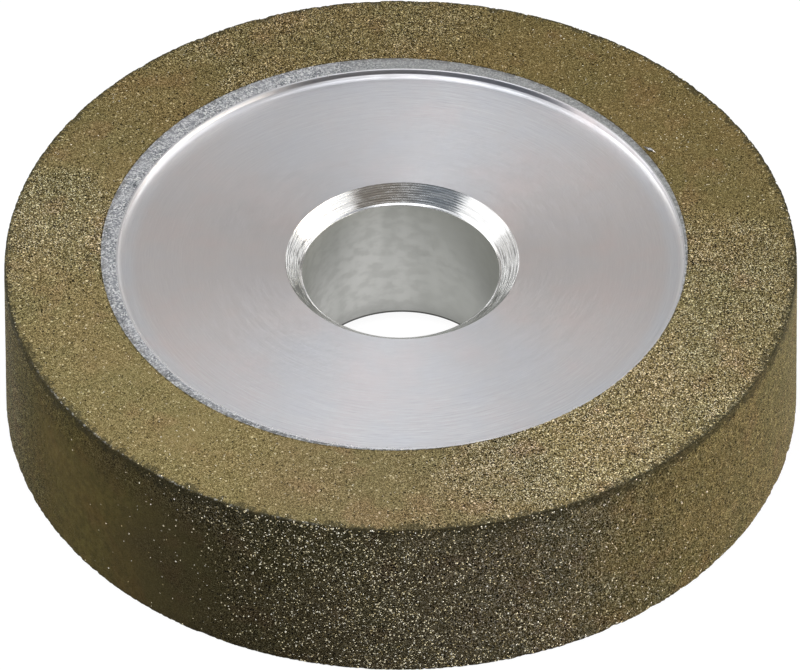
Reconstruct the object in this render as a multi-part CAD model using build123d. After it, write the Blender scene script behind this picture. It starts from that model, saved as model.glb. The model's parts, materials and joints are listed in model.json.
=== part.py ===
from build123d import *
from math import cos, radians, sin, tan
import os

# Resin-bonded diamond grinding wheel of plain disc form, lying on its wider face.
# Millimetres. The origin is on the bore axis in the plane of the lower face, and +Z runs up the bore.

# Wheel. Its side is as moulded, and widens from the upper face to the lower one by the mould's draft.
WHEEL_WIDTH = 18.6
UPPER_FACE_DIAMETER = 80.0
LOWER_FACE_DIAMETER = 81.4

# Abrasive ring, moulded on the hub: its mean depth at the upper face, and its two broken outer edges
RIM_DEPTH = 10.35
RIM_EDGE_BREAK = 0.15

# Flat band left on each face of the hub outside the recess.
# It is wider on one side because the hub blank sits off the bore axis.
BAND_NARROWEST = 0.1
BAND_WIDEST = 2.08
BAND_WIDEST_DIRECTION = 131.0

# Clamping recess turned in each face of the hub
RECESS_DEPTH = 0.8
RECESS_NOSE_RADIUS = 0.65

# Bore and its lead-in chamfers, which are 45 degrees
BORE_DIAMETER = 20.0
UPPER_CHAMFER = 1.7
LOWER_CHAMFER = 0.5

# Keying groove round the middle of the hub, which the moulded ring grips
KEY_MOUTH = 4.0
KEY_DEPTH = 0.8
KEY_FLANK_ANGLE = 20.0

# Sizes that follow from the ones above
upper_radius = UPPER_FACE_DIAMETER / 2
lower_radius = LOWER_FACE_DIAMETER / 2
seat_radius = upper_radius - RIM_DEPTH
recess_radius = seat_radius - (BAND_WIDEST + BAND_NARROWEST) / 2
seat_offset = (BAND_WIDEST - BAND_NARROWEST) / 2
seat_centre = Location(
    (
        seat_offset * cos(radians(BAND_WIDEST_DIRECTION)),
        seat_offset * sin(radians(BAND_WIDEST_DIRECTION)),
        0,
    )
)
bore_radius = BORE_DIAMETER / 2
from_lower_face = (Align.CENTER, Align.CENTER, Align.MIN)


def key_groove():
    """Ring-shaped cutter for the keying groove: a trapezoid, narrower at its floor, turned round the hub."""
    half_mouth = KEY_MOUTH / 2
    half_floor = half_mouth - KEY_DEPTH * tan(radians(KEY_FLANK_ANGLE))
    floor_radius = seat_radius - KEY_DEPTH
    level = WHEEL_WIDTH / 2
    section = Polyline(
        (seat_radius, 0, level - half_mouth),
        (floor_radius, 0, level - half_floor),
        (floor_radius, 0, level + half_floor),
        (seat_radius, 0, level + half_mouth),
        close=True,
    )
    return revolve(make_face(section), Axis.Z)


def hub_blank():
    """Disc of the full wheel width with its keying groove, set off the bore axis."""
    return seat_centre * (Cylinder(seat_radius, WHEEL_WIDTH, align=from_lower_face) - key_groove())


def recess_cut():
    """Shallow turned pocket on the bore axis, open upwards from z = 0, rounded by the tool's nose at its foot."""
    pocket = Pos(0, 0, -RECESS_DEPTH) * Cylinder(recess_radius, RECESS_DEPTH, align=from_lower_face)
    foot = pocket.edges().filter_by(GeomType.CIRCLE).sort_by(Axis.Z)[0]
    return fillet(foot, RECESS_NOSE_RADIUS)


def bore_mouths(body):
    """The two circular edges where the bore meets the recess floors, lower one first."""
    circles = body.edges().filter_by(GeomType.CIRCLE)
    return circles.filter_by(lambda edge: abs(edge.radius - bore_radius) < 0.001).sort_by(Axis.Z)


def make_hub():
    """Aluminium hub: the keyed blank, recessed on both faces and bored, with a chamfer at each mouth."""
    hub = hub_blank()
    hub -= Pos(0, 0, WHEEL_WIDTH) * recess_cut()
    hub -= Rot(180, 0, 0) * recess_cut()
    hub -= Cylinder(bore_radius, WHEEL_WIDTH, align=from_lower_face)
    hub = chamfer(bore_mouths(hub)[-1], UPPER_CHAMFER)
    return chamfer(bore_mouths(hub)[0], LOWER_CHAMFER)


def make_abrasive_ring():
    """Diamond and resin ring: round the bore axis outside, with draft, and with its two edges broken.

    Inside, it fills the groove of the hub blank.
    """
    disc = Cone(lower_radius, upper_radius, WHEEL_WIDTH, align=from_lower_face)
    disc = chamfer(disc.edges().filter_by(GeomType.CIRCLE), RIM_EDGE_BREAK)
    return disc - hub_blank()


def save(node, solid):
    """Write one piece as parts/NODE.step."""
    os.makedirs("parts", exist_ok=True)
    export_step(solid, f"parts/{node}.step")


save("hub", make_hub())
save("abrasive_ring", make_abrasive_ring())
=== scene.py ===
import json
from math import atan2, cos, pi, radians, sin, sqrt, tan

import bpy
import numpy as np
from mathutils import Matrix, Vector, noise


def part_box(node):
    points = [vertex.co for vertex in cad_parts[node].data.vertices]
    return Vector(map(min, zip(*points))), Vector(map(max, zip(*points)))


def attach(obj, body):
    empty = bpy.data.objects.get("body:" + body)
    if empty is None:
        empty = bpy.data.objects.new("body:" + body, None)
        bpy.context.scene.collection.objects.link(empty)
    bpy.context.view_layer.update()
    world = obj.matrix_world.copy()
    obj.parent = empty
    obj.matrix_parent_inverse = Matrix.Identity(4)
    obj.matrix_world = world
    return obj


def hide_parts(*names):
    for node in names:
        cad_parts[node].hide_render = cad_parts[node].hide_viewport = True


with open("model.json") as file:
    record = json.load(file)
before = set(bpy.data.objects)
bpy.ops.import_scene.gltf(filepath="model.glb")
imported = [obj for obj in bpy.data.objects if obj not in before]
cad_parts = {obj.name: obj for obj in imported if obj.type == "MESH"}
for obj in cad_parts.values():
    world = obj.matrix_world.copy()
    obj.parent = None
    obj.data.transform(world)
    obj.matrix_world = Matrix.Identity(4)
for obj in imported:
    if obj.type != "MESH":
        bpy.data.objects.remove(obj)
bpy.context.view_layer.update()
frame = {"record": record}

# Resin-bonded diamond grinding wheel lying on a pale floor. Metres.
# The bore axis is Z, the wheel lies on z = 0, and the photograph is taken from the -Y side.

MM = 0.001

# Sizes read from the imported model
ring_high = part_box("abrasive_ring")[1]
hub_low, hub_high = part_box("hub")
mounts = {mount["name"]: mount for mount in frame["record"]["mounts"]}
WHEEL_WIDTH = ring_high.z
SEAT_RADIUS = (hub_high.x - hub_low.x) / 2
SEAT_X = (hub_high.x + hub_low.x) / 2
SEAT_Y = (hub_high.y + hub_low.y) / 2
BORE_RADIUS = mounts["bore"]["dims"]["r_mm"] * MM
UPPER_FLOOR_Z = mounts["upper_clamping_face"]["pos_m"][2]
LOWER_FLOOR_Z = mounts["lower_clamping_face"]["pos_m"][2]

# The moulded side, which widens downwards, as in the solid
UPPER_FACE_RADIUS = 40.0 * MM
LOWER_FACE_RADIUS = 40.7 * MM
FLARE = (UPPER_FACE_RADIUS - LOWER_FACE_RADIUS) / WHEEL_WIDTH

# Recess in each face of the hub. Its wall rises from the floor in an arc, up to that slope in degrees,
# and is upright above it, where the solid has a smaller round foot.
RECESS_RADIUS = 28.56 * MM
NOSE_RADIUS = 1.18 * MM
NOSE_END = 37

# Bore chamfers. The upper one is a little wider than in the solid, and its rim is drawn off the bore axis.
UPPER_CHAMFER = 1.83 * MM
LOWER_CHAMFER = 0.5 * MM
CHAMFER_DRIFT = 0.31 * MM
CHAMFER_DRIFT_DIRECTION = radians(-57)

# Rolled edge between a chamfer and the bore: a narrow land at a slope in degrees, then a small round
MOUTH_LAND = 0.22 * MM
MOUTH_SLOPE = 30
MOUTH_RADIUS = 0.08 * MM

# Keying groove, as in the solid
KEY_MOUTH = 4.0 * MM
KEY_DEPTH = 0.8 * MM
KEY_FLANK_ANGLE = radians(20)

# Raised lip that the recessing tool left along each recess rim
LIP_WIDTH = 0.20 * MM
LIP_HEIGHT = 0.018 * MM

# Coarse turning marks on the chamfers, and where the tool tore them
CHAMFER_FEED = 0.27 * MM
CHAMFER_FEED_DEPTH = 0.011 * MM
TORN_CHAMFER_DIRECTIONS = (radians(180), radians(-14))

# Worn shoulder of the abrasive ring: distance in from the side and drop below the face, point by point
SHOULDER = [
    (0.15 * MM, 0.0), (0.08 * MM, 0.012 * MM), (0.04 * MM, 0.04 * MM),
    (0.012 * MM, 0.08 * MM), (0.0, 0.15 * MM),
]

# Relief of the ring: grain, waves, wear and crumbling along its outer edges, and small chips, whose depths
# are shares of their sizes
GRAIN_RELIEF = 0.016 * MM
WAVE_RELIEF = 0.012 * MM
WAVE_SIZE = 1.6 * MM
EDGE_WEAR = 0.13 * MM
EDGE_WEAR_SIZE = 0.42 * MM
EDGE_CRUMBLE = 0.035 * MM
CHIP_COUNT = 140
CHIP_SIZES = (0.15 * MM, 0.40 * MM)
CHIP_DEPTHS = (0.12, 0.3)
SEAT_CHIP_DEPTH = 0.18 * MM
SEAT_CHIP_SIZE = 0.35 * MM

# Cells of the hub's band and of the resin, the spots in the resin that are pits or specks by their lot
# from 0 to 1, and the resin's colours from its darkest cells to its lightest
BAND_CELL = 0.14 * MM
RESIN_CELL = 0.075 * MM
SPOT_CELL = 0.27 * MM
# The pits are painted shade: near-black spots for the resin's small holes
PITS_BELOW = 0.09
SPECKS_ABOVE = 0.963
RESIN_SHADES = (
    (0.0, (0.002, 0.0015, 0.001)), (0.25, (0.030, 0.022, 0.006)), (0.5, (0.126, 0.096, 0.035)),
    (0.75, (0.285, 0.228, 0.104)), (0.9, (0.56, 0.47, 0.24)), (1.0, (1.0, 0.92, 0.66)),
)
GRIT_SHADES = (
    (0.0, (0.30, 0.23, 0.09)), (0.45, (0.58, 0.48, 0.24)),
    (0.8, (0.88, 0.80, 0.56)), (1.0, (1.0, 0.97, 0.86)),
)
FILLER_SHADES = (
    (0.0, (0.07, 0.055, 0.025)), (0.35, (0.20, 0.16, 0.065)),
    (0.8, (0.30, 0.25, 0.11)), (1.0, (0.52, 0.46, 0.24)),
)

# How much darker the resin of the upper face is than that of the side: painted shade on the face
FACE_SHADE = 0.875

# Where the grit stands out most on the side: its middle leans with the height, and shares of the grit lie
# about it, less widely to one side than to the other
KEEN_DIRECTION = radians(271)
KEEN_LEAN = radians(16)
KEEN_SPREAD = radians(20)
KEEN_SKEW = (0.72, 1.15)
KEEN_SHARE = 0.88
KEEN_SHARE_LARGE = 0.98

# Patches of the resin. Each has its direction from the bore axis and the cosines of the angles from there
# at which it starts and is full, then what it does. They end on an uneven line.
PATCH_WANDER = 18 * MM
PATCH_WANDER_SIZE = 7 * MM
# Less grain where the face is rubbed smoother
FACE_GRAIN = (
    (radians(230), cos(radians(58)), cos(radians(18)), -0.62),
    (radians(42), cos(radians(44)), cos(radians(14)), -0.62),
    (radians(145), cos(radians(22)), cos(radians(8)), -0.50),
)
# Grain of the side, and how much is added: where the grit stands out, where it is rubbed, and twice more
SIDE_GRAIN_LEVEL = 0.52
SIDE_GRAIN = (
    (KEEN_DIRECTION, 0.75, 0.98, 0.30),
    (radians(219), 0.87, 0.98, -0.38),
    (radians(183), 0.84, 0.97, 0.72),
    (radians(325), 0.6, 0.9, 0.22),
)
# The face is painted darker and greyer on its near part and darker and browner on its far half, as painted
# shade, and paler on one side, as painted light
FACE_PAINTED_LIGHT = (
    (radians(270), 0.88, 0.99, (0.90, 0.885, 0.96)),
    (radians(75), -0.25, 0.85, (0.86, 0.812, 0.715)),
    (radians(312), 0.75, 0.97, (1.10, 1.075, 1.09)),
)
# The side has painted shade: darker and yellower on one part, and darker and cooler on the part towards -Y
SIDE_PAINTED_SHADE = (
    (radians(205), 0.3, 0.8, (0.72, 0.70, 0.55)),
    (radians(264), 0.66, 0.95, (0.595, 0.63, 0.845)),
)
MOTTLED_SIDE = ((radians(325), 0.55, 0.9), (radians(195), 0.70, 0.95))

# Where the ring's upper edge is dusty, with a painted highlight there too, and where it is darkest
DUST_AND_SHEEN_DIRECTION = radians(228)
DARK_EDGE_DIRECTION = radians(30)

# Where the hub's finish changes, and where painted shade darkens the band, the recess floor, the recess wall
# and the bore
SHADED_BAND_DIRECTION = radians(50)
SHADED_FLOOR_DIRECTION = radians(128)
WARM_FLOOR_DIRECTIONS = (0.0, pi)
SHADED_WALL_DIRECTION = radians(83)
MOTTLED_BORE_DIRECTION = radians(125)
SHADED_BORE_DIRECTION = radians(38)

# Diamond grit and filler grains standing in the resin
GRIT_SIZES = (0.05 * MM, 0.11 * MM)
GRAIN_SIZES = (0.05 * MM, 0.09 * MM)
GLINT_SIZES = (0.08 * MM, 0.14 * MM)
GRIT_SUNK = (0.3, 0.75)
GLINT_SUNK = (0.2, 0.55)
GRIT_COUNT_FACE = 11000
GRIT_COUNT_SIDE = 6000
GLINT_COUNT_SIDE = 2700
GRAIN_COUNT_UPPER = 24000

# Burrs on the recess rim, thickest where the tool left the metal, and one sliver lifted off the band
BURR_COUNT = 620
BURR_DIRECTION = radians(-118)
BURR_SPREAD = radians(22)
BURR_REACH = (-0.02 * MM, 0.30 * MM)
BURR_SIZES = (0.04 * MM, 0.14 * MM)
BURR_RISE = 0.03 * MM
SLIVER_PLACE = (25.70 * MM, 15.50 * MM)
SLIVER_RISE = 0.10 * MM
SLIVER_DIRECTION = radians(-38)
SLIVER_LENGTH = 1.5 * MM
SLIVER_FORM = (1.0, 0.34, 0.24)

# Light: a tent whose levels are in the units of a fully lit white surface. Its panels lie between two
# azimuths in degrees, counted from the photographer towards +X.
LEFT_SECTOR = (-114, -63)
RIGHT_SECTOR = (46, 111)
LOW_LAMP_SECTOR = (50, 108)
RIGHT_CORNER = (104, 134)
LEFT_CORNER = (-134, -104)
ROOM_SECTOR = (-63, 48)
TENT_BACK = 0.42
TENT_BACK_LOW_LEFT = 0.82
TENT_BACK_LOW_RIGHT = 1.16
TENT_LEFT = 1.28
TENT_CORNER_LEFT = 2.1
TENT_CORNER_RIGHT = 1.9
TENT_RIGHT_NEAR = 0.95
TENT_RIGHT_FAR = 1.03
LOW_LAMP_NEAR = 6.0
LOW_LAMP_FAR = 7.8
TENT_OPENING = 0.11
TENT_OPENING_HIGH = 0.27
ROOM_LEFT = (0.86, 0.97, 1.10)
ROOM_RIGHT = (1.10, 0.99, 0.86)
TENT_WARM = (1.04, 1.00, 0.95)
TENT_AMBER = (1.07, 0.99, 0.87)
TENT_COOL = (0.97, 0.99, 1.03)

# The overhead light, between parts of a direction along X and Y, with a round gap in its middle
STRIP_LEVEL = 2.46
STRIP_LEFT = -0.27
STRIP_RIGHT = 0.21
STRIP_BACK = 0.435
STRIP_FRONT = -0.46
STRIP_SOFT = 0.06
STRIP_GAP_LEVEL = 0.50
STRIP_GAP = 0.17
STRIP_GAP_SOFT = 0.04

# One softbox close above, and the floor, whose glow is what the camera and the gloss see of it
SOFTBOX_PLACE = (-0.010, -0.046, 0.108)
SOFTBOX_SIDE = 0.09
SOFTBOX_LEVEL = 2.62
FLOOR_GLOW = 0.94
FLOOR_MIRRORED = 0.94
# In reflections, the floor under the bore is darker, from its middle to the bore wall: painted shadow
FLOOR_IN_BORE = 0.51
FLOOR_AT_BORE_WALL = 0.25
FLOOR_ALBEDO = 0.10
FLOOR_SIDE = 4.0
FLOOR_DROP = 0.02 * MM

# Camera: a long lens from the -Y side
CAMERA_ELEVATION = radians(42.73)
CAMERA_ROLL = radians(-0.30)
CAMERA_DISTANCE = 585.9 * MM
CAMERA_LENS = 261.0
CAMERA_SENSOR = 36.0
# Where the middle of the upper face lies from the optical axis, to the right and down
FACE_CENTRE_RIGHT = 0.06 * MM
FACE_CENTRE_DOWN = -8.39 * MM

SEGMENTS = 560
RING_SEGMENTS = 1440
angles = np.linspace(0, 2 * pi, SEGMENTS, endpoint=False)


def seat_distance(theta, radius):
    """Distance from the bore axis to a circle of that radius about the seat's own centre."""
    offset = sqrt(SEAT_X ** 2 + SEAT_Y ** 2)
    turn = theta - atan2(SEAT_Y, SEAT_X)
    return offset * np.cos(turn) + np.sqrt(radius ** 2 - (offset * np.sin(turn)) ** 2)


def side_radius(z):
    """Radius of the ring's side at a height above the floor."""
    return LOWER_FACE_RADIUS + FLARE * z


def arc(centre_r, centre_z, radius, start, end, count):
    """Points (r, z) along an arc in the half section, angles in degrees."""
    return [
        (centre_r + radius * cos(radians(a)), centre_z + radius * sin(radians(a)))
        for a in np.linspace(start, end, count)
    ]


def line(start, end, count):
    """Points (r, z) from start up to, but not with, end."""
    return [
        (start[0] + (end[0] - start[0]) * k / count, start[1] + (end[1] - start[1]) * k / count)
        for k in range(count)
    ]


def chamfer_line(mouth_r, floor_z, side, depth, count):
    """Points down a 45 degree chamfer from the recess floor to the bore, with the tool's feed marks."""
    points = []
    slant = (depth - MOUTH_LAND) * sqrt(2)
    for k in range(count):
        along = slant * (k + 0.5) / count
        mark = CHAMFER_FEED_DEPTH * abs(sin(pi * along / CHAMFER_FEED))
        points.append((mouth_r - (along - mark) / sqrt(2), floor_z - side * (along + mark) / sqrt(2)))
    return points


def mouth_profile(land_z, side, count):
    """Rolled edge at the foot of a chamfer: a narrow land that slopes less, then round into the bore."""
    curve_r = BORE_RADIUS + MOUTH_RADIUS
    land_end_r = curve_r - MOUTH_RADIUS * sin(radians(MOUTH_SLOPE))
    land_end_z = land_z - side * (BORE_RADIUS + MOUTH_LAND - land_end_r) * tan(radians(MOUTH_SLOPE))
    curve_z = land_end_z - side * MOUTH_RADIUS * cos(radians(MOUTH_SLOPE))
    return [(BORE_RADIUS + MOUTH_LAND, land_z)] + arc(
        curve_r, curve_z, MOUTH_RADIUS, side * (90 + MOUTH_SLOPE), side * 180, count
    )


def chamfer_drift(radius):
    """How far each point round the upper chamfer is moved out: fully at its rim, not at all at the mouth."""
    share = (radius - BORE_RADIUS - MOUTH_LAND) / (UPPER_CHAMFER - MOUTH_LAND)
    return CHAMFER_DRIFT * max(share, 0.0) * np.cos(angles - CHAMFER_DRIFT_DIRECTION)


def face_profile(floor_z, face_z, chamfer_depth, rows):
    """One face of the hub in half section, from its recess rim in to the bore mouth, as (r, z, zone)."""
    side = 1 if face_z > floor_z else -1
    mouth_r = BORE_RADIUS + chamfer_depth
    foot_r = RECESS_RADIUS - NOSE_RADIUS * sin(radians(NOSE_END))
    foot_z = floor_z + side * NOSE_RADIUS
    wall_foot_z = foot_z - side * NOSE_RADIUS * cos(radians(NOSE_END))
    rim_z = face_z - side * LIP_HEIGHT
    lip = [
        (RECESS_RADIUS + LIP_WIDTH, face_z),
        (RECESS_RADIUS + LIP_WIDTH * 0.65, face_z + side * LIP_HEIGHT),
        (RECESS_RADIUS + LIP_WIDTH * 0.1, face_z),
    ]
    wall = line((RECESS_RADIUS, rim_z), (RECESS_RADIUS, wall_foot_z), 4)
    nose = arc(foot_r, foot_z, NOSE_RADIUS, side * (NOSE_END - 90), -side * 90, rows["nose"])
    floor = line((foot_r, floor_z), (mouth_r, floor_z), rows["floor"])[1:] + [(mouth_r, floor_z)]
    cone = chamfer_line(mouth_r, floor_z, side, chamfer_depth, rows["chamfer"])
    land_z = floor_z - side * (chamfer_depth - MOUTH_LAND)
    mouth = mouth_profile(land_z, side, rows["mouth"])
    zones = (
        ("lip", lip), ("wall", wall), ("nose", nose), ("floor", floor), ("chamfer", cone),
        ("mouth", mouth[:-1]), ("bore", mouth[-1:]),
    )
    return [(r, z, zone) for zone, points in zones for r, z in points]


def key_profile():
    """(depth, z) of the hub's outer wall from the lower face up, with its keying groove."""
    level = WHEEL_WIDTH / 2
    half_mouth = KEY_MOUTH / 2
    half_floor = half_mouth - KEY_DEPTH * tan(KEY_FLANK_ANGLE)
    foot = [(0, 0), (0, level - half_mouth), (KEY_DEPTH, level - half_floor)]
    top = [(KEY_DEPTH, level + half_floor), (0, level + half_mouth), (0, WHEEL_WIDTH)]
    return foot + top


def full_rows(rows, theta):
    """The columns of the rows as arrays that hold a value for each angle."""
    return [np.array([np.broadcast_to(v, theta.shape) for v in column], float) for column in zip(*rows)]


def mesh_of(name, points, faces):
    """Mesh from arrays of points and of faces, which all have the same number of corners."""
    mesh = bpy.data.meshes.new(name)
    mesh.vertices.add(points.size // 3)
    mesh.vertices.foreach_set("co", points.astype(np.float32).ravel())
    mesh.loops.add(faces.size)
    mesh.loops.foreach_set("vertex_index", faces.astype(np.int32).ravel())
    mesh.polygons.add(len(faces))
    mesh.polygons.foreach_set("loop_start", np.arange(0, faces.size, faces.shape[1], dtype=np.int32))
    return mesh


def grid_mesh(name, radii, heights, theta, zones, slots):
    """Closed mesh from rows of points round the bore axis; the last row joins the first.

    radii and heights hold one row of values for each profile point. zones names what each row starts,
    and slots gives the material index of each zone. Its UV runs along the section, so that a brushed
    finish can follow the turning.
    """
    rows, count = radii.shape
    points = np.stack([radii * np.cos(theta), radii * np.sin(theta), heights], axis=-1)
    row, column = np.meshgrid(np.arange(rows), np.arange(count), indexing="ij")
    start, next_start = row * count, (row + 1) % rows * count
    next_column = (column + 1) % count
    corners = [start + column, next_start + column, next_start + next_column, start + next_column]
    mesh = mesh_of(name, points, np.stack(corners, axis=-1).reshape(-1, 4))
    mesh.polygons.foreach_set("material_index", np.repeat([slots[z] for z in zones], count).astype(np.int32))
    mesh.update(calc_edges=True)
    steps = [np.diff(values.mean(1), append=values[0].mean()) for values in (radii, heights)]
    along = np.concatenate([[0], np.cumsum(np.hypot(*steps))])
    length = along[-1]
    u = np.stack([along[:-1], along[1:], along[1:], along[:-1]], axis=-1) / length
    u = np.repeat(u[:, None, :], count, axis=1)
    v = np.stack([column, column, column + 1, column + 1], axis=-1) / count
    uv = mesh.uv_layers.new(name="turning")
    uv.data.foreach_set("uv", np.stack([u, v], axis=-1).astype(np.float32).ravel())
    mesh.polygons.foreach_set("use_smooth", np.ones(rows * count, dtype=bool))
    mesh.set_sharp_from_angle(angle=radians(35))
    mesh.validate()
    return mesh


def add_object(name, data):
    """A new object in the scene."""
    made = bpy.data.objects.new(name, data)
    bpy.context.scene.collection.objects.link(made)
    return made


def add_piece(mesh, materials, slot, *nodes):
    """Puts a mesh in the scene as a piece that rides on the wheel, in place of those nodes of the solid."""
    piece = add_object(mesh.name, mesh)
    for material in materials:
        mesh.materials.append(material)
    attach(piece, "root")
    if nodes:
        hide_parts(*nodes)


def build_hub(materials):
    """The turned hub, finer than the solid: lipped recess rims, tool marks on the chamfers, keyed seat."""
    upper_rows = {"nose": 9, "floor": 10, "chamfer": 60, "mouth": 5}
    lower_rows = {"nose": 6, "floor": 6, "chamfer": 24, "mouth": 3}
    upper = face_profile(UPPER_FLOOR_Z, WHEEL_WIDTH, UPPER_CHAMFER, upper_rows)
    lower = face_profile(LOWER_FLOOR_Z, 0.0, LOWER_CHAMFER, lower_rows)
    bore = [(BORE_RADIUS, z, "bore") for z in np.linspace(upper[-1][1], lower[-1][1], 8)[1:-1]]
    turned = upper + bore + lower[::-1]
    zones = [zone for _, _, zone in turned]
    rows = [(r, z) for r, z, _ in turned]
    for k in range(zones.index("chamfer") - 1, len(upper)):
        r, z = rows[k]
        rows[k] = (r + chamfer_drift(r), z)
    # The lower half is walked outwards, so each of its rows starts the zone of the row after it
    first_lower = len(upper) + len(bore)
    zones[first_lower:] = zones[first_lower + 1:] + ["band"]
    for depth, z in key_profile():
        rows.append((seat_distance(angles, SEAT_RADIUS - depth), z))
        zones.append("seat")
    zones[-1] = "band"
    seat = seat_distance(angles, SEAT_RADIUS)
    rim = RECESS_RADIUS + LIP_WIDTH
    for share in (0.33, 0.67):
        rows.append((seat + (rim - seat) * share, WHEEL_WIDTH))
        zones.append("band")
    finishes = (("band", "seat"), ("lip", "wall", "nose", "floor"), ("chamfer", "mouth"), ("bore",))
    slots = {zone: slot for slot, finish in enumerate(finishes) for zone in finish}
    mesh = grid_mesh("turned_hub", *full_rows(rows, angles), angles, zones, slots)
    add_piece(mesh, materials, "hub_aluminium", "hub")


def noise_at(points, size, seed):
    """Smooth noise, about -1 to 1, of that grain size at each point."""
    shift = Vector((seed * 3.7, seed * 1.3, seed * 2.9))
    return np.array([noise.noise(Vector(p) / size + shift) for p in points])


def ring_section(theta, face_rows, side_rows):
    """Rows of the plain ring: faces, worn shoulders, side, and the rib in the keying groove.

    Each row has its r and z, the way that its relief stands out in r and z, and 1 on a worn shoulder.
    """
    inner = seat_distance(theta, SEAT_RADIUS)
    upper_r = UPPER_FACE_RADIUS - SHOULDER[0][0]
    lower_r = LOWER_FACE_RADIUS - SHOULDER[0][0]
    side_foot = SHOULDER[-1][1]
    side_top = WHEEL_WIDTH - side_foot
    last = len(SHOULDER) - 1
    worn = [(inset, drop, atan2(k, last - k)) for k, (inset, drop) in enumerate(SHOULDER)]
    rows = [(inner + (upper_r - inner) * k / face_rows, WHEEL_WIDTH, 0, 1, 0) for k in range(face_rows)]
    for inset, drop, lean in worn:
        rows.append((UPPER_FACE_RADIUS - inset, WHEEL_WIDTH - drop, sin(lean), cos(lean), 1))
    for k in range(1, side_rows):
        z = side_top + (side_foot - side_top) * k / side_rows
        rows.append((side_radius(z), z, 1, 0, 0))
    for inset, drop, lean in worn[::-1]:
        rows.append((LOWER_FACE_RADIUS - inset, drop, sin(lean), -cos(lean), 1))
    for k in range(1, face_rows + 1):
        rows.append((lower_r + (inner - lower_r) * k / face_rows, 0, 0, -1, 0))
    for depth, z in key_profile()[1:-1]:
        rows.append((seat_distance(theta, SEAT_RADIUS - depth), z, 0, 0, 0))
    rows.append((inner, WHEEL_WIDTH - SEAT_CHIP_DEPTH, 0, 0, 0))
    return rows


def edge_chips(points, rng):
    """Depth of the small chips knocked out of both outer edges, at each point."""
    depth = np.zeros(len(points))
    for _ in range(CHIP_COUNT):
        turn = rng.uniform(0, 2 * pi)
        level = WHEEL_WIDTH if rng.random() < 0.5 else 0.0
        radius = side_radius(level)
        at = np.array([radius * cos(turn), radius * sin(turn), level])
        size = rng.uniform(*CHIP_SIZES)
        depth += size * rng.uniform(*CHIP_DEPTHS) * np.exp(-((points - at) ** 2).sum(1) / (2 * size ** 2))
    return depth


def build_ring(materials, rng):
    """The abrasive ring with its granular relief, worn shoulders and small chips."""
    theta = np.linspace(0, 2 * pi, RING_SEGMENTS, endpoint=False)
    rows = ring_section(theta, face_rows=12, side_rows=30)
    radii, heights, out_r, out_z, on_edge = full_rows(rows, theta)
    points = np.stack([radii * np.cos(theta), radii * np.sin(theta), heights], axis=-1).reshape(-1, 3)
    relief = WAVE_RELIEF * noise_at(points, WAVE_SIZE, 1) + GRAIN_RELIEF * rng.uniform(-1, 1, len(points))
    relief = relief - edge_chips(points, rng)
    wear = EDGE_WEAR * noise_at(points, EDGE_WEAR_SIZE, 2).clip(0, 1) + EDGE_CRUMBLE * rng.random(len(points))
    wear = wear.reshape(radii.shape)
    relief = relief.reshape(radii.shape) - wear * on_edge
    radii = radii + relief * out_r
    heights = (heights + relief * out_z).clip(0.0, None)
    # Where the resin met the hub its edge has crumbled a little
    crumbs = noise_at(points[:RING_SEGMENTS], SEAT_CHIP_SIZE, 3).clip(0.15, 1) - 0.15
    radii[0] += SEAT_CHIP_DEPTH * crumbs
    mesh = grid_mesh("grit_ring", radii, heights, theta, ["resin"] * len(radii), {"resin": 0})
    add_piece(mesh, materials, "diamond_resin", "abrasive_ring")


OCTAHEDRON = (
    [[1, 0, 0], [-1, 0, 0], [0, 1, 0], [0, -1, 0], [0, 0, 1], [0, 0, -1]],
    [[0, 2, 4], [2, 1, 4], [1, 3, 4], [3, 0, 4], [2, 0, 5], [1, 2, 5], [3, 1, 5], [0, 3, 5]],
)
SPLINTER = (
    [[0.9, 0.5, -0.3], [-0.9, 0.5, -0.3], [0, -1, -0.3], [0, 0, 1]],
    [[0, 1, 3], [1, 2, 3], [2, 0, 3], [1, 0, 2]],
)


def random_turns(count, rng):
    """Rotation matrices, evenly spread over all directions."""
    quaternions = rng.normal(size=(count, 4))
    w, x, y, z = (quaternions / np.linalg.norm(quaternions, axis=1, keepdims=True)).T
    rows = (
        (1 - 2 * (y * y + z * z), 2 * (x * y - z * w), 2 * (x * z + y * w)),
        (2 * (x * y + z * w), 1 - 2 * (x * x + z * z), 2 * (y * z - x * w)),
        (2 * (x * z - y * w), 2 * (y * z + x * w), 1 - 2 * (x * x + y * y)),
    )
    return np.stack([np.stack(row, -1) for row in rows], axis=1)


def grains(
    name, form, places, outward, sizes, rng, turns=None, stretch=None, depths=GRIT_SUNK, shades=(0.0, 1.0)
):
    """One mesh of small crystals or splinters, each sunk partly in the surface, with a shade of its own."""
    corners, faces = np.array(form[0], float), np.array(form[1])
    count, corner_count = len(places), len(form[0])
    size = sizes[0] + (sizes[1] - sizes[0]) * rng.random(count) ** 1.6
    if stretch is None:
        stretch = rng.uniform(0.75, 1.25, (count, 1, 3))
    uneven = rng.uniform(0.8, 1.2, (count, corner_count, 1))
    shapes = corners[None] * stretch * uneven * size[:, None, None]
    if turns is None:
        turns = random_turns(count, rng)
    shapes = np.einsum("nij,nkj->nki", turns, shapes)
    sunk = size * rng.uniform(*depths, count)
    points = shapes + (places - outward * sunk[:, None])[:, None, :]
    indices = (faces[None] + corner_count * np.arange(count)[:, None, None]).reshape(-1, 3)
    mesh = mesh_of(name, points, indices)
    mesh.update(calc_edges=True)
    shade = mesh.attributes.new("shade", "FLOAT", "POINT")
    shade.data.foreach_set("value", np.repeat(rng.uniform(*shades, count), corner_count).astype(np.float32))
    mesh.validate()
    return mesh


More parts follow.
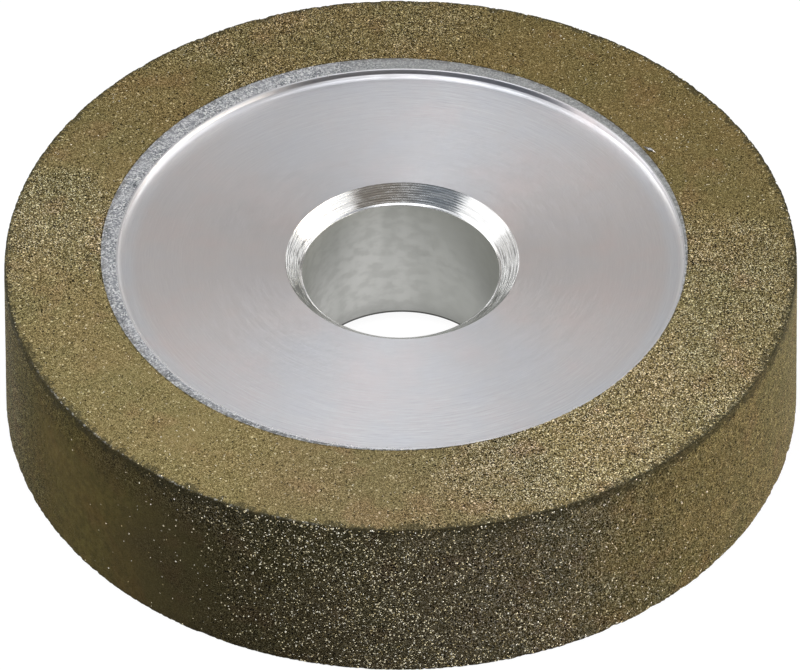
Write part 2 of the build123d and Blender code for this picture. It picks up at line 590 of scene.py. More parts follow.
def places_on_face(count, level, up, rng):
    """Random places over one flat face of the ring, with the way out of it."""
    theta = rng.uniform(0, 2 * pi, count)
    near = seat_distance(theta, SEAT_RADIUS) + GRIT_SIZES[1]
    far = side_radius(level) - SHOULDER[1][0]
    r = np.sqrt(near ** 2 + (far ** 2 - near ** 2) * rng.random(count))
    places = np.stack([r * np.cos(theta), r * np.sin(theta), np.full(count, level)], -1)
    return places, np.tile([0.0, 0.0, up], (count, 1))


def places_on_side(count, share, rng):
    """Random places over the side of the ring, a share of them where the grit stands out, and the way out."""
    edge = SHOULDER[-1][1]
    z = rng.uniform(edge, WHEEL_WIDTH - edge, count)
    middle = KEEN_DIRECTION + KEEN_LEAN * (0.5 - z / WHEEL_WIDTH)
    lean = rng.normal(0, KEEN_SPREAD, count)
    keen = middle + lean * np.where(lean < 0, *KEEN_SKEW)
    theta = np.where(rng.random(count) < share, keen, rng.uniform(0, 2 * pi, count))
    outward = np.stack([np.cos(theta), np.sin(theta), np.zeros(count)], -1)
    places = outward * side_radius(z)[:, None]
    places[:, 2] = z
    return places, outward


def build_grit(materials, grain_materials, rng):
    """Diamond grit on the two faces and the side, and finer filler grains on the upper face."""
    lower_level = GRIT_SIZES[1] * 0.9
    upper = places_on_face(GRIT_COUNT_FACE, WHEEL_WIDTH, 1.0, rng)
    lower = places_on_face(GRIT_COUNT_FACE, lower_level, -1.0, rng)
    side = places_on_side(GRIT_COUNT_SIDE, KEEN_SHARE, rng)
    large = places_on_side(GLINT_COUNT_SIDE, KEEN_SHARE_LARGE, rng)
    fine = places_on_face(GRAIN_COUNT_UPPER, WHEEL_WIDTH, 1.0, rng)
    for name, place in (("grit_upper", upper), ("grit_lower", lower), ("grit_side", side)):
        add_piece(grains(name, OCTAHEDRON, *place, GRIT_SIZES, rng), materials, "diamond_resin")
    coarse = grains(
        "grit_side_coarse", OCTAHEDRON, *large, GLINT_SIZES, rng, depths=GLINT_SUNK, shades=(0.6, 1.0)
    )
    add_piece(coarse, materials, "diamond_resin")
    add_piece(grains("filler_upper", SPLINTER, *fine, GRAIN_SIZES, rng), grain_materials, "diamond_resin")


def build_burrs(materials, sliver_materials, rng):
    """Bright burrs along the upper recess rim, and the sliver lifted off the band."""
    theta = rng.normal(BURR_DIRECTION, BURR_SPREAD, BURR_COUNT)
    theta[: BURR_COUNT // 4] = rng.uniform(0, 2 * pi, BURR_COUNT // 4)
    outward = np.stack([np.cos(theta), np.sin(theta), np.zeros(BURR_COUNT)], -1)
    places = outward * (RECESS_RADIUS + rng.uniform(*BURR_REACH, BURR_COUNT))[:, None]
    places[:, 2] = WHEEL_WIDTH + BURR_RISE
    up = np.tile([0.0, 0.0, 1.0], (BURR_COUNT, 1))
    add_piece(grains("rim_burrs", SPLINTER, places, up, BURR_SIZES, rng), materials, "hub_aluminium")
    turn = np.array([Matrix.Rotation(SLIVER_DIRECTION, 3, "Z")])
    place = np.array([[*SLIVER_PLACE, WHEEL_WIDTH + SLIVER_RISE]])
    sizes = (SLIVER_LENGTH / 2, SLIVER_LENGTH / 2)
    form = np.array([[SLIVER_FORM]])
    sliver = grains("band_sliver", OCTAHEDRON, place, np.zeros((1, 3)), sizes, rng, turn, form)
    add_piece(sliver, sliver_materials, "hub_aluminium")


def grey(value):
    return (value, value, value)


class Nodes:
    """Short ways to add and join the shader nodes of one material or world."""

    def __init__(self, owner):
        owner.use_nodes = True
        self.owner = owner
        self.tree = owner.node_tree
        self.tree.nodes.clear()

    def add(self, kind, inputs=(), **settings):
        node = self.tree.nodes.new(kind)
        for key, value in settings.items():
            setattr(node, key, value)
        for key, value in dict(inputs).items():
            self.put(node.inputs[key], value)
        return node

    def put(self, socket, value):
        if isinstance(value, bpy.types.NodeSocket):
            self.tree.links.new(value, socket)
        else:
            socket.default_value = (*value, 1) if socket.type == "RGBA" else value

    def math(self, operation, *values):
        node = self.add("ShaderNodeMath", operation=operation)
        for socket, value in zip(node.inputs, values):
            self.put(socket, value)
        return node.outputs[0]

    def times(self, first, *others):
        for other in others:
            first = self.math("MULTIPLY", first, other)
        return first

    def minus(self, first, second):
        return self.math("SUBTRACT", first, second)

    def linear(self, value, gain, base):
        """value * gain + base"""
        return self.math("MULTIPLY_ADD", value, gain, base)

    def vectors(self, operation, first, second):
        return self.add("ShaderNodeVectorMath", {0: first, 1: second}, operation=operation).outputs[0]

    def scaled(self, vector, factor):
        return self.add("ShaderNodeVectorMath", {0: vector, "Scale": factor}, operation="SCALE").outputs[0]

    def parts(self, vector):
        """The x, y and z of a vector."""
        return self.add("ShaderNodeSeparateXYZ", {"Vector": vector}).outputs

    def mix(self, factor, first, second):
        node = self.add("ShaderNodeMix", data_type="RGBA")
        for name, value in (("Factor", factor), ("A", first), ("B", second)):
            socket = [s for s in node.inputs if s.name == name and s.enabled][0]
            self.put(socket, value)
        return [s for s in node.outputs if s.enabled][0]

    def tinted(self, colour, share, tint):
        """The colour, multiplied by the tint where the share is 1 and left alone where it is 0."""
        return self.vectors("MULTIPLY", colour, self.mix(share, grey(1.0), tint))

    def steps(self, factor, *stops):
        """Colour ramp: each stop is (place, colour)."""
        node = self.add("ShaderNodeValToRGB", {"Fac": factor})
        ramp = node.color_ramp
        while len(ramp.elements) < len(stops):
            ramp.elements.new(0.5)
        for element, (place, colour) in zip(ramp.elements, stops):
            element.position = place
            element.color = (*colour, 1)
        return node.outputs["Color"]

    def span(self, value, low, high, to_low=0.0, to_high=1.0):
        """Smooth step that is to_low where the value is low, and to_high where it is high."""
        node = self.add("ShaderNodeMapRange", interpolation_type="SMOOTHSTEP")
        names = ("Value", "From Min", "From Max", "To Min", "To Max")
        for name, number in zip(names, (value, low, high, to_low, to_high)):
            self.put(node.inputs[name], number)
        return node.outputs[0]

    def window(self, value, low, high, soft):
        """1 where the value lies between low and high, 0 elsewhere, with smooth edges."""
        fall = self.span(value, high - soft, high + soft, 1.0, 0.0)
        return self.times(self.span(value, low - soft, low + soft), fall)

    def noise(self, vector, size, detail=2.0, roughness=0.5, stretch=(1, 1, 1), offset=(0, 0, 0)):
        placing = {"Vector": vector, "Scale": stretch, "Location": offset}
        vector = self.add("ShaderNodeMapping", placing).outputs[0]
        inputs = {"Vector": vector, "Scale": 1 / size, "Detail": detail, "Roughness": roughness}
        return self.add("ShaderNodeTexNoise", inputs).outputs["Fac"]

    def cells(self, vector, size):
        """Random cells: two random numbers for each, and the distance from its middle in cell sizes."""
        cells = self.add("ShaderNodeTexVoronoi", {"Vector": vector, "Scale": 1 / size})
        first, second, _ = self.add("ShaderNodeSeparateColor", {"Color": cells.outputs["Color"]}).outputs
        return first, second, cells.outputs["Distance"]

    def bump(self, height, distance, strength):
        inputs = {"Height": height, "Distance": distance, "Strength": strength}
        return self.add("ShaderNodeBump", inputs).outputs[0]


def new_material(name):
    """The nodes of a new material, and the place on the wheel that its colours depend on."""
    nodes = Nodes(bpy.data.materials.new(name))
    return nodes, nodes.add("ShaderNodeTexCoord").outputs["Object"]


def finish_material(nodes, **inputs):
    """The material, with its shader's inputs given by name, where _ stands for a space."""
    shader = nodes.add("ShaderNodeBsdfPrincipled")
    for key, value in inputs.items():
        nodes.put(shader.inputs[key.replace("_", " ")], value)
    nodes.add("ShaderNodeOutputMaterial", {"Surface": shader.outputs[0]})
    return nodes.owner


def turning(nodes, place):
    """Distance from the bore axis, and the two parts of the direction from it."""
    x, y, _ = nodes.parts(place)
    distance = nodes.math("SQRT", nodes.math("ADD", nodes.times(x, x), nodes.times(y, y)))
    return distance, nodes.math("DIVIDE", x, distance), nodes.math("DIVIDE", y, distance)


def facing(nodes, place, direction, start, full):
    """1 on the part of the wheel that lies that way from the bore axis; start and full are cosines."""
    _, across, up = turning(nodes, place)
    cosine = nodes.linear(across, cos(direction), nodes.times(up, sin(direction)))
    return nodes.span(cosine, start, full)


def joint_mask(nodes, place, start, end):
    """From 0 to 1 across the joint of the ring and the hub; start and end are distances outwards from it."""
    x, y, _ = nodes.parts(place)
    sides = [nodes.minus(value, centre) for value, centre in ((x, SEAT_X), (y, SEAT_Y))]
    squares = [nodes.times(value, value) for value in sides]
    distance = nodes.math("SQRT", nodes.math("ADD", *squares))
    return nodes.span(distance, SEAT_RADIUS + start, SEAT_RADIUS + end)


def turned_noise(nodes, place, feed, run, detail=2.0, roughness=0.5):
    """Noise drawn out along the tool's path: feed is its size across the marks, run its count round them."""
    distance, across, up = turning(nodes, place)
    inputs = {"X": nodes.times(across, run), "Y": nodes.times(up, run), "Z": nodes.times(distance, 1 / feed)}
    vector = nodes.add("ShaderNodeCombineXYZ", inputs).outputs[0]
    return nodes.noise(vector, 1.0, detail, roughness)


def turning_tangent(nodes):
    """Across the tool marks, so that highlights spread that way."""
    return nodes.add("ShaderNodeTangent", direction_type="UV_MAP", uv_map="turning").outputs[0]


def stained_floor(nodes, place, bands):
    """Colour of the recess floor without its marks: faint stains from warm to cool, and soft darker bands."""
    stain = nodes.noise(place, 8 * MM, 3.0, 0.6)
    warm, plain, cool = (0.87, 0.82, 0.82), (0.84, 0.83, 0.84), (0.83, 0.835, 0.865)
    colour = nodes.steps(stain, (0.32, warm), (0.5, plain), (0.68, cool))
    return nodes.mix(nodes.span(bands, 0.3, 0.7, 0.0, 0.14), colour, (0.70, 0.69, 0.71))


def marked_floor(nodes, place, marks, colour):
    """The colour with dark and light tool marks, which show least near the bore and along the X axis."""
    distance, _, up = turning(nodes, place)
    plain = nodes.linear(nodes.times(up, up), 0.7, 0.3)
    plain = nodes.times(plain, nodes.span(distance, 17 * MM, 25 * MM, 0.35, 1.0))
    dark = nodes.times(nodes.span(marks, 0.48, 0.34, 0.0, 0.50), plain)
    light = nodes.times(nodes.span(marks, 0.52, 0.66, 0.0, 0.80), plain)
    colour = nodes.mix(dark, colour, (0.60, 0.59, 0.62))
    return nodes.mix(light, colour, grey(1.0))


def shaded_wall_mask(nodes, place):
    """1 on the stretch of the recess wall that is painted dark, as painted shade."""
    distance, _, _ = turning(nodes, place)
    inner = nodes.span(distance, RECESS_RADIUS - 0.05 * MM, RECESS_RADIUS - 0.02 * MM)
    outer = nodes.span(distance, RECESS_RADIUS + 0.01 * MM, RECESS_RADIUS + 0.03 * MM, 1.0, 0.0)
    return nodes.times(inner, outer, facing(nodes, place, SHADED_WALL_DIRECTION, 0.82, 0.93))


def turned_floor_material():
    """Finely turned aluminium of the recess: concentric marks, faint stains and warm sides, with painted
    shade on the far wall and on one side of the floor.
    """
    nodes, place = new_material("turned_floor")
    marks = turned_noise(nodes, place, 0.14 * MM, 8.0, 3.0, 0.65)
    bands = turned_noise(nodes, place, 1.1 * MM, 3.0, 2.0, 0.6)
    colour = marked_floor(nodes, place, marks, stained_floor(nodes, place, bands))
    # Painted shade on the far stretch of the recess wall
    colour = nodes.mix(shaded_wall_mask(nodes, place), colour, (0.42, 0.42, 0.45))
    distance, _, _ = turning(nodes, place)
    inside = nodes.span(distance, RECESS_RADIUS - 2.2 * MM, RECESS_RADIUS - 0.9 * MM, 1.0, 0.0)
    for direction in WARM_FLOOR_DIRECTIONS:
        warm = nodes.times(facing(nodes, place, direction, 0.5, 0.95), inside)
        colour = nodes.tinted(colour, warm, (0.985, 0.94, 0.91))
    # Painted shade: the floor darker on one side
    painted_shade = nodes.times(facing(nodes, place, SHADED_FLOOR_DIRECTION, 0.60, 0.95), 0.36)
    colour = nodes.mix(painted_shade, colour, (0.59, 0.575, 0.58))
    return finish_material(
        nodes, Base_Color=colour, Metallic=1.0, Roughness=nodes.span(marks, 0.3, 0.7, 0.40, 0.30),
        Anisotropic=0.75, Normal=nodes.bump(nodes.linear(bands, 1.5, marks), 0.012 * MM, 0.7),
        Tangent=turning_tangent(nodes),
    )


def chamfer_material():
    """Coarse-turned aluminium of the bore chamfers, with dark grooves where the tool tore it."""
    nodes, place = new_material("turned_chamfer")
    marks = turned_noise(nodes, place, 0.15 * MM, 2.0, 2.0, 0.6)
    tear = turned_noise(nodes, place, 0.22 * MM, 7.0, 2.0, 0.6)
    lines = turned_noise(nodes, place, 0.10 * MM, 4.0, 2.0, 0.6)
    colour = nodes.steps(marks, (0.34, grey(0.72)), (0.46, (0.92, 0.92, 0.91)), (0.62, grey(0.96)))
    torn = [facing(nodes, place, direction, 0.75, 0.97) for direction in TORN_CHAMFER_DIRECTIONS]
    groove = nodes.times(nodes.span(lines, 0.50, 0.41, 0.0, 0.70), nodes.math("ADD", *torn))
    colour = nodes.mix(groove, colour, grey(0.14))
    return finish_material(
        nodes, Base_Color=colour, Metallic=1.0,
        Roughness=nodes.span(tear, 0.35, 0.65, 0.16, 0.28), Anisotropic=0.6,
        Normal=nodes.bump(marks, 0.02 * MM, 0.6), Tangent=turning_tangent(nodes),
    )


def bore_material():
    """Satin wall of the bore, with soft upright bands, faint blotches, painted shade on one side and a dark
    lower arris of painted shade.
    """
    nodes, place = new_material("bore_wall")
    bands = nodes.noise(place, 3.2 * MM, stretch=(1, 1, 0.10))
    blotches = nodes.noise(place, 0.9 * MM, stretch=(0.7, 0.7, 1))
    colour = nodes.steps(bands, (0.35, (0.76, 0.765, 0.73)), (0.65, (0.90, 0.90, 0.865)))
    mottled = nodes.linear(facing(nodes, place, MOTTLED_BORE_DIRECTION, 0.2, 0.9), 0.17, 0.05)
    mottled = nodes.times(mottled, nodes.span(blotches, 0.40, 0.66))
    colour = nodes.mix(mottled, colour, (0.56, 0.565, 0.53))
    # Painted shade on one side of the bore
    bore_shade = nodes.times(facing(nodes, place, SHADED_BORE_DIRECTION, 0.5, 0.95), 0.72)
    colour = nodes.mix(bore_shade, colour, (0.60, 0.61, 0.57))
    # Painted shade along the lower arris of the bore
    z = nodes.parts(place)[2]
    arris = LOWER_FLOOR_Z + LOWER_CHAMFER
    dark = nodes.span(z, arris + 0.20 * MM, arris + 0.08 * MM, 0.0, 0.9)
    colour = nodes.mix(dark, colour, (0.10, 0.10, 0.09))
    return finish_material(
        nodes, Base_Color=colour, Metallic=1.0, Roughness=nodes.span(blotches, 0.3, 0.7, 0.34, 0.44),
        Normal=nodes.bump(blotches, 0.004 * MM, 0.3),
    )


def band_material():
    """Unmachined band of the hub: matt, sparkling grey skin, with painted shade on one side and along the
    ring.
    """
    nodes, place = new_material("unmachined_band")
    shade, rise, _ = nodes.cells(place, BAND_CELL)
    grain = nodes.noise(place, 0.13 * MM, 2.0, 0.6)
    clouds = nodes.noise(place, 1.5 * MM)
    shade_patches = nodes.noise(place, 0.7 * MM, 3.0, 0.6, offset=(0.1, 0.6, 0.4))
    dark, middle, bright = (0.13, 0.138, 0.155), (0.41, 0.425, 0.445), (0.90, 0.90, 0.89)
    colour = nodes.steps(shade, (0.0, dark), (0.5, middle), (0.9, bright))
    colour = nodes.mix(nodes.span(clouds, 0.35, 0.65, 0.35, 0.0), colour, (0.60, 0.60, 0.63))
    # Painted shade on one side of the band
    painted_shade = facing(nodes, place, SHADED_BAND_DIRECTION, 0.5, 0.77)
    colour = nodes.scaled(colour, nodes.linear(painted_shade, -0.12, 1.0))
    colour = nodes.mix(nodes.times(painted_shade, 0.6), colour, (0.40, 0.405, 0.395))
    # Painted shade in patches along the joint with the ring
    beside_ring = joint_mask(nodes, place, -0.7 * MM, -0.1 * MM)
    joint = nodes.times(beside_ring, nodes.span(shade_patches, 0.42, 0.62, 0.0, 0.8))
    colour = nodes.mix(joint, colour, (0.20, 0.20, 0.19))
    return finish_material(
        nodes, Base_Color=colour, Metallic=1.0, Roughness=nodes.span(grain, 0.3, 0.7, 0.28, 0.5),
        Normal=nodes.bump(nodes.linear(rise, 0.6, grain), 0.07 * MM, 0.9),
    )


def burr_material(name, level):
    """Torn aluminium, as bright as level."""
    nodes, place = new_material(name)
    tear = nodes.noise(place, 0.08 * MM, 2.0, 0.6)
    colour = nodes.steps(tear, (0.4, grey(0.75 * level)), (0.6, grey(level)))
    return finish_material(
        nodes, Base_Color=colour, Metallic=1.0, Roughness=nodes.span(tear, 0.3, 0.7, 0.15, 0.35),
        Normal=nodes.bump(tear, 0.01 * MM, 0.5),
    )


def face_mask(nodes, place):
    """1 on the ring's upper face, 0 on its side."""
    z = nodes.parts(place)[2]
    return nodes.span(z, WHEEL_WIDTH - 0.3 * MM, WHEEL_WIDTH - 0.1 * MM)


def shoulder_mask(nodes, place):
    """1 on the worn shoulders along the ring's two outer edges."""
    distance, _, _ = turning(nodes, place)
    z = nodes.parts(place)[2]
    from_middle = nodes.math("ABSOLUTE", nodes.minus(z, WHEEL_WIDTH / 2))
    inset = nodes.minus(distance, nodes.linear(z, FLARE, LOWER_FACE_RADIUS))
    outer = nodes.span(inset, -0.30 * MM, -0.16 * MM)
    end = nodes.span(from_middle, WHEEL_WIDTH / 2 - 0.22 * MM, WHEEL_WIDTH / 2 - 0.10 * MM)
    return nodes.times(outer, end)


def seam_mask(nodes, place):
    """Dark crumbled spots in the ring along its joint with the hub, painted shade in the gap there, 0
    elsewhere.
    """
    near = nodes.minus(1.0, joint_mask(nodes, place, 0.08 * MM, 0.24 * MM))
    spots = nodes.noise(place, 0.5 * MM, 3.0, 0.7, offset=(0.7, 0.1, 0.9))
    return nodes.times(near, nodes.span(spots, 0.45, 0.6, 0.0, 0.8))


def under_edge_mask(nodes, place, smears, crumbs):
    """Up to 0.65 on a ragged dark strip of the side just under the upper edge."""
    z = nodes.parts(place)[2]
    ragged = nodes.linear(smears, 3.2 * MM, nodes.linear(crumbs, 2.4 * MM, z))
    strip = nodes.span(ragged, WHEEL_WIDTH + 1.5 * MM, WHEEL_WIDTH + 2.1 * MM, 0.0, 0.65)
    return nodes.times(strip, nodes.math("LESS_THAN", z, WHEEL_WIDTH - 0.02 * MM))


def wandering(nodes, place):
    """The place shifted unevenly, so that the patches picked by it end on an uneven line."""
    inputs = {"Vector": place, "Scale": 1 / PATCH_WANDER_SIZE, "Detail": 2.0}
    turns = nodes.add("ShaderNodeTexNoise", inputs).outputs["Color"]
    shift = nodes.scaled(nodes.vectors("SUBTRACT", turns, (0.5, 0.5, 0.5)), PATCH_WANDER)
    return nodes.vectors("ADD", place, shift)


def grain_contrast(nodes, place, uneven, on_face):
    """How strongly the resin's grain shows: in clouds on the face, and more or less in some directions."""
    clouds = nodes.noise(place, 9 * MM, offset=(0.5, 0.7, 0.1))
    face = nodes.span(clouds, 0.36, 0.60, 0.96, 1.14)
    for direction, start, full, gain in FACE_GRAIN:
        face = nodes.linear(facing(nodes, uneven, direction, start, full), gain, face)
    side = SIDE_GRAIN_LEVEL
    for direction, start, full, gain in SIDE_GRAIN:
        side = nodes.linear(facing(nodes, uneven, direction, start, full), gain, side)
    high = nodes.span(nodes.parts(place)[2], WHEEL_WIDTH - 6 * MM, WHEEL_WIDTH - 2 * MM)
    keen_top = nodes.times(high, facing(nodes, uneven, DUST_AND_SHEEN_DIRECTION, 0.90, 0.98))
    side = nodes.linear(keen_top, 0.45, side)
    return nodes.linear(on_face, nodes.minus(face, side), side)


def resin_grain(nodes, place, shade, contrast, on_face):
    """Colour of the resin from cell to cell, with dark pits of painted shade and bright specks."""
    middle = nodes.linear(contrast, -0.2, 0.7)
    pick = nodes.linear(nodes.minus(shade, 0.5), contrast, middle)
    colour = nodes.steps(pick, *RESIN_SHADES)
    lot, _, distance = nodes.cells(place, SPOT_CELL)
    core = nodes.span(distance, 0.32, 0.48, 1.0, 0.0)
    pits = nodes.times(core, nodes.math("LESS_THAN", lot, PITS_BELOW))
    specks = nodes.times(core, nodes.math("GREATER_THAN", lot, SPECKS_ABOVE))
    deep = nodes.math("MINIMUM", nodes.times(contrast, 1.5), 1.0)
    # Painted shade in the pits
    colour = nodes.mix(nodes.times(pits, deep), colour, (0.004, 0.003, 0.002))
    seen = nodes.times(nodes.math("MINIMUM", contrast, 1.0), nodes.linear(on_face, 0.45, 0.4))
    return nodes.mix(nodes.times(specks, seen), colour, (1.0, 0.87, 0.54))


def resin_patches(nodes, place, uneven, on_face, colour):
    """The resin's colour with its faint patches all over, then painted light and shade: the face darker than
    the side, and lighter or darker by direction on the face and on the side.
    """
    patches = nodes.noise(place, 7 * MM, 3.0, 0.6)
    redness = nodes.noise(place, 4 * MM, offset=(0.3, 0.1, 0.2))
    tint = nodes.steps(patches, (0.36, (0.93, 0.97, 0.95)), (0.64, (1.05, 1.02, 1.02)))
    tint = nodes.mix(nodes.span(redness, 0.54, 0.72, 0.0, 0.6), tint, (1.08, 0.94, 1.0))
    # Painted shade: the face darker than the side
    colour = nodes.tinted(nodes.vectors("MULTIPLY", colour, tint), on_face, grey(FACE_SHADE))
    off_face = nodes.minus(1.0, on_face)
    # Painted light and shade on the face and on the side, by direction
    for tints, where in ((FACE_PAINTED_LIGHT, on_face), (SIDE_PAINTED_SHADE, off_face)):
        for direction, start, full, tint in tints:
            share = nodes.times(facing(nodes, uneven, direction, start, full), where)
            colour = nodes.tinted(colour, share, tint)
    mottle = nodes.noise(place, 0.75 * MM, 2.0, 0.6, offset=(0.4, 0.9, 0.2))
    dark, plain, light = (0.80, 0.82, 0.80), (1.0, 0.99, 0.95), (1.19, 1.19, 1.12)
    mottle_tint = nodes.steps(mottle, (0.36, dark), (0.5, plain), (0.64, light))
    mottled = [facing(nodes, uneven, *patch) for patch in MOTTLED_SIDE]
    return nodes.tinted(colour, nodes.times(nodes.math("ADD", *mottled), off_face), mottle_tint)


def resin_edges(nodes, place, uneven, colour):
    """The resin's colour with its edges: worn dark, dusty with a painted highlight in one place, and crumbled
    along the hub with painted shade in the gaps.
    """
    smears = nodes.noise(place, 1.4 * MM, 3.0, 0.7, offset=(0.2, 0.4, 0.6))
    crumbs = nodes.noise(place, 0.35 * MM, 2.0, 0.6, offset=(0.8, 0.2, 0.5))
    shoulder = shoulder_mask(nodes, place)
    darkest = facing(nodes, uneven, DARK_EDGE_DIRECTION, 0.5, 0.9)
    dark = nodes.math("MAXIMUM", nodes.span(smears, 0.32, 0.62, 0.15, 0.95), darkest)
    colour = nodes.mix(nodes.times(shoulder, dark), colour, (0.040, 0.036, 0.021))
    colour = nodes.mix(under_edge_mask(nodes, place, smears, crumbs), colour, (0.040, 0.036, 0.019))
    # Dust on the edge, with a painted highlight where the worn edge catches the light
    dust_and_sheen_edge = nodes.times(shoulder, facing(nodes, uneven, DUST_AND_SHEEN_DIRECTION, 0.86, 0.97))
    dust_and_sheen = nodes.times(dust_and_sheen_edge, nodes.span(crumbs, 0.52, 0.64, 0.0, 0.8))
    colour = nodes.mix(dust_and_sheen, colour, (0.30, 0.295, 0.26))
    # Painted shade in the crumbled gap along the joint with the hub
    return nodes.mix(seam_mask(nodes, place), colour, (0.02, 0.017, 0.01))


def resin_material():
    """Resin bond full of filler and grit: olive brown, with light grains, dark pits and faint patches, and
    painted light and shade on its face, side, pits and edges.
    """
    nodes, place = new_material("resin_bond")
    on_face = face_mask(nodes, place)
    uneven = wandering(nodes, place)
    contrast = grain_contrast(nodes, place, uneven, on_face)
    fine = nodes.noise(place, 0.13 * MM, 2.0, 0.6)
    shade, _, _ = nodes.cells(place, RESIN_CELL)
    colour = resin_grain(nodes, place, shade, contrast, on_face)
    colour = resin_patches(nodes, place, uneven, on_face, colour)
    colour = resin_edges(nodes, place, uneven, colour)
    return finish_material(
        nodes, Base_Color=colour, Roughness=nodes.span(fine, 0.3, 0.7, 0.75, 0.5), Specular_IOR_Level=0.04,
        Normal=nodes.bump(nodes.linear(shade, 0.8, fine), 0.05 * MM, 0.8),
    )


def own_shade(nodes):
    """Each crystal's own random number from 0 to 1."""
    return nodes.add("ShaderNodeAttribute", attribute_name="shade").outputs["Fac"]


def grit_material():
    """Clad diamond grit: pale straw to silver, hard and glinting."""
    nodes, place = new_material("clad_grit")
    shade = own_shade(nodes)
    kind = nodes.noise(place, 0.07 * MM, 1.0)
    return finish_material(
        nodes, Base_Color=nodes.steps(shade, *GRIT_SHADES), Metallic=0.8,
        Roughness=nodes.span(shade, 0.0, 1.0, 0.30, 0.12), Normal=nodes.bump(kind, 0.01 * MM, 0.4),
    )


def filler_material():
    """Dull filler grains, from dark brown to straw."""
    nodes, place = new_material("filler_grains")
    kind = nodes.noise(place, 0.07 * MM, 1.0)
    return finish_material(
        nodes, Base_Color=nodes.steps(own_shade(nodes), *FILLER_SHADES),
        Roughness=nodes.span(kind, 0.3, 0.7, 0.45, 0.65), Normal=nodes.bump(kind, 0.01 * MM, 0.4),
    )


def floor_material():
    """Pale floor: white to the eye and in reflections, with the wheel's shadow kept; in reflections under the
    bore it darkens towards the bore wall, a painted shadow.
    """
    nodes, place = new_material("pale_floor")
    path = nodes.add("ShaderNodeLightPath")
    distance, _, _ = turning(nodes, place)
    # Painted shadow: what the gloss sees of the floor under the bore
    shaded = nodes.span(distance, 0.65 * BORE_RADIUS, 1.03 * BORE_RADIUS, FLOOR_IN_BORE, FLOOR_AT_BORE_WALL)
    clear = nodes.math("GREATER_THAN", distance, 2 * BORE_RADIUS)
    level = nodes.linear(clear, nodes.minus(FLOOR_MIRRORED, shaded), shaded)
    mirrored = nodes.times(path.outputs["Is Glossy Ray"], level)
    level = nodes.linear(path.outputs["Is Camera Ray"], FLOOR_GLOW, mirrored)
    diffuse = nodes.add("ShaderNodeBsdfDiffuse", {"Color": grey(FLOOR_ALBEDO)})
    glow = nodes.add("ShaderNodeEmission", {"Color": grey(1.0), "Strength": level})
    both = nodes.add("ShaderNodeAddShader", {0: diffuse.outputs[0], 1: glow.outputs[0]})
    nodes.add("ShaderNodeOutputMaterial", {"Surface": both.outputs[0]})
    return nodes.owner


def build_floor():
    """Flat square floor just under the wheel."""
    half = FLOOR_SIDE / 2
    corners = [(-half, -half, 0), (half, -half, 0), (half, half, 0), (-half, half, 0)]
    mesh = bpy.data.meshes.new("floor")
    mesh.from_pydata(corners, [], [(0, 1, 2, 3)])
    mesh.materials.append(floor_material())
    floor = add_object("floor", mesh)
    floor.location.z = -FLOOR_DROP


class Sky:
    """Masks over the directions of the world. Azimuths are counted from the photographer towards +X."""

    def __init__(self, nodes):
        self.nodes = nodes
        direction = nodes.add("ShaderNodeTexCoord").outputs["Generated"]
        self.x, self.y, self.z = nodes.parts(direction)
        self.azimuth = nodes.math("ARCTAN2", self.x, nodes.times(self.y, -1.0))
        self.elevation = nodes.math("ARCSINE", self.z)

    def sector(self, start, end, soft):
        """1 between two azimuths in degrees, with soft edges."""
        return self.nodes.window(self.azimuth, radians(start), radians(end), radians(soft))

    def below(self, limit, soft):
        """1 below an elevation in degrees, with a soft edge."""
        return self.nodes.span(self.elevation, radians(limit - soft), radians(limit + soft), 1.0, 0.0)

    def between(self, low, high, soft):
        """1 between two elevations in degrees, with soft edges."""
        return self.nodes.minus(self.below(high, soft), self.below(low, soft))

    def strip(self):
        """1 over the overhead light."""
        across = self.nodes.window(self.x, STRIP_LEFT, STRIP_RIGHT, STRIP_SOFT)
        along = self.nodes.window(self.y, STRIP_FRONT, STRIP_BACK, STRIP_SOFT)
        above = self.nodes.span(self.elevation, radians(40), radians(50))
        return self.nodes.times(across, along, above)

    def strip_gap(self):
        """1 in the round gap in the middle of the overhead light."""
        from_top = self.nodes.math("ARCCOSINE", self.z)
        return self.nodes.span(from_top, STRIP_GAP - STRIP_GAP_SOFT, STRIP_GAP + STRIP_GAP_SOFT, 1.0, 0.0)


def lay(nodes, light, mask, level):
    """The light, replaced by that level where the mask is 1."""
    return nodes.linear(mask, nodes.minus(level, light), light)


def tent_light(nodes, sky):
    """How bright the tent is in each direction."""
    low_level = nodes.span(sky.azimuth, radians(-90), radians(90), TENT_BACK_LOW_LEFT, TENT_BACK_LOW_RIGHT)
    light = nodes.span(sky.elevation, radians(4), radians(24), low_level, TENT_BACK)
    left_panel = nodes.minus(sky.below(50, 6), sky.below(7, 4))
    light = lay(nodes, light, nodes.times(sky.sector(*LEFT_SECTOR, 4), left_panel), TENT_LEFT)
    right_level = nodes.span(sky.azimuth, radians(52), radians(92), TENT_RIGHT_NEAR, TENT_RIGHT_FAR)
    light = lay(nodes, light, nodes.times(sky.sector(*RIGHT_SECTOR, 10), sky.below(47, 7)), right_level)
    lamp_level = nodes.span(sky.azimuth, radians(52), radians(92), LOW_LAMP_NEAR, LOW_LAMP_FAR)
    light = lay(nodes, light, nodes.times(sky.sector(*LOW_LAMP_SECTOR, 4), sky.below(13, 2)), lamp_level)
    corner_height = sky.between(28, 64, 5)
    for corner, level in ((RIGHT_CORNER, TENT_CORNER_RIGHT), (LEFT_CORNER, TENT_CORNER_LEFT)):
        light = lay(nodes, light, nodes.times(sky.sector(*corner, 7), corner_height), level)
    opening = nodes.span(sky.elevation, radians(30), radians(50), TENT_OPENING, TENT_OPENING_HIGH)
    light = lay(nodes, light, sky.sector(*ROOM_SECTOR, 4), opening)
    light = lay(nodes, light, sky.strip(), STRIP_LEVEL)
    return lay(nodes, light, sky.strip_gap(), STRIP_GAP_LEVEL)


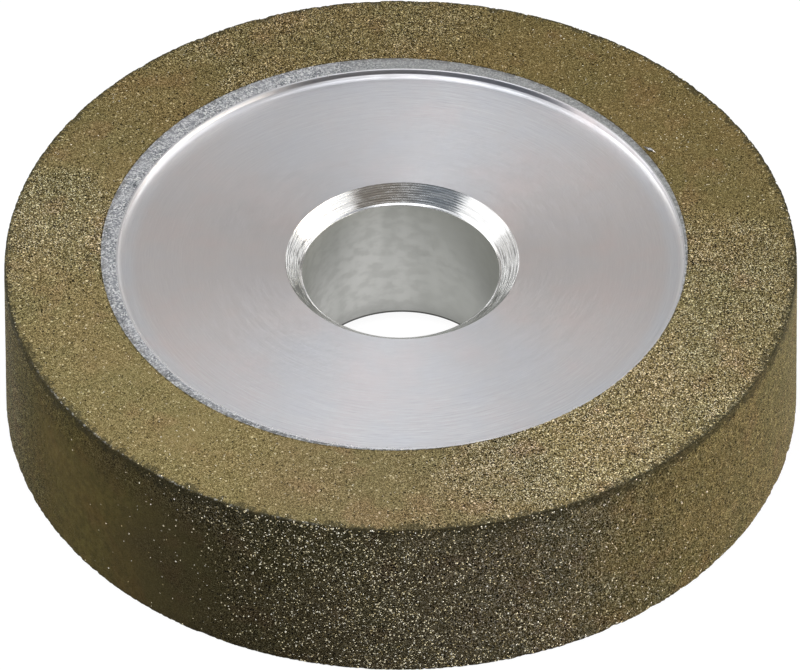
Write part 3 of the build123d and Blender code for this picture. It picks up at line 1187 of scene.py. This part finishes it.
def tent_colour(nodes, sky):
    """The tent's tint in each direction: cool above, warm low down, and the room's own in its opening."""
    turn = nodes.math("ABSOLUTE", sky.azimuth)
    rise = nodes.span(turn, radians(112), radians(128))
    fall = nodes.span(turn, radians(150), radians(168), 1.0, 0.0)
    low = nodes.minus(sky.below(34, 10), sky.below(14, 4))
    right = nodes.times(sky.sector(*RIGHT_SECTOR, 10), sky.below(13, 2))
    room_tint = nodes.mix(nodes.span(sky.azimuth, radians(-40), radians(20)), ROOM_LEFT, ROOM_RIGHT)
    colour = nodes.mix(sky.below(50, 10), TENT_COOL, grey(1.0))
    colour = nodes.mix(nodes.times(low, rise, fall), colour, TENT_WARM)
    colour = nodes.mix(right, colour, TENT_AMBER)
    return nodes.mix(nodes.times(sky.sector(*ROOM_SECTOR, 4), sky.below(60, 6)), colour, room_tint)


def build_world():
    """White tent round the wheel: a panel on each side, paler above, dark where the photographer stands."""
    world = bpy.data.worlds.new("tent")
    bpy.context.scene.world = world
    nodes = Nodes(world)
    sky = Sky(nodes)
    seen = nodes.add("ShaderNodeLightPath").outputs["Is Camera Ray"]
    light = lay(nodes, tent_light(nodes, sky), seen, 1.0)
    colour = nodes.mix(seen, tent_colour(nodes, sky), grey(1.0))
    background = nodes.add("ShaderNodeBackground", {"Color": colour, "Strength": light})
    nodes.add("ShaderNodeOutputWorld", {"Surface": background.outputs[0]})


def build_softbox():
    """Square lamp close above the near side of the wheel, facing down."""
    light = bpy.data.lights.new("softbox", "AREA")
    light.shape = "SQUARE"
    light.size = SOFTBOX_SIDE
    light.energy = SOFTBOX_LEVEL * pi * SOFTBOX_SIDE ** 2
    lamp = add_object("softbox", light)
    lamp.location = SOFTBOX_PLACE
    lamp.visible_camera = False
    lamp.visible_glossy = False


def build_camera():
    """Long-lens camera, placed by where the middle of the upper face falls in its view."""
    forward = Vector((0, cos(CAMERA_ELEVATION), -sin(CAMERA_ELEVATION)))
    level_right = Vector((1, 0, 0))
    level_down = Vector((0, -sin(CAMERA_ELEVATION), -cos(CAMERA_ELEVATION)))
    right = level_right * cos(CAMERA_ROLL) - level_down * sin(CAMERA_ROLL)
    down = level_right * sin(CAMERA_ROLL) + level_down * cos(CAMERA_ROLL)
    face_centre = Vector((0, 0, WHEEL_WIDTH))
    place = face_centre - right * FACE_CENTRE_RIGHT - down * FACE_CENTRE_DOWN - forward * CAMERA_DISTANCE
    lens = bpy.data.cameras.new("camera")
    lens.lens = CAMERA_LENS
    lens.sensor_width = CAMERA_SENSOR
    lens.sensor_fit = "HORIZONTAL"
    lens.clip_start = 0.05
    lens.clip_end = 20.0
    camera = add_object("camera", lens)
    axes = Matrix((right, -down, -forward)).transposed()
    camera.matrix_world = Matrix.Translation(place) @ axes.to_4x4()
    bpy.context.scene.camera = camera


rng = np.random.default_rng(7)
build_hub([band_material(), turned_floor_material(), chamfer_material(), bore_material()])
build_ring([resin_material()], rng)
build_grit([grit_material()], [filler_material()], rng)
build_burrs([burr_material("torn_aluminium", 0.95)], [burr_material("dull_sliver", 0.6)], rng)

build_floor()
build_world()
build_softbox()
build_camera()
bpy.context.scene.view_settings.view_transform = "Standard"
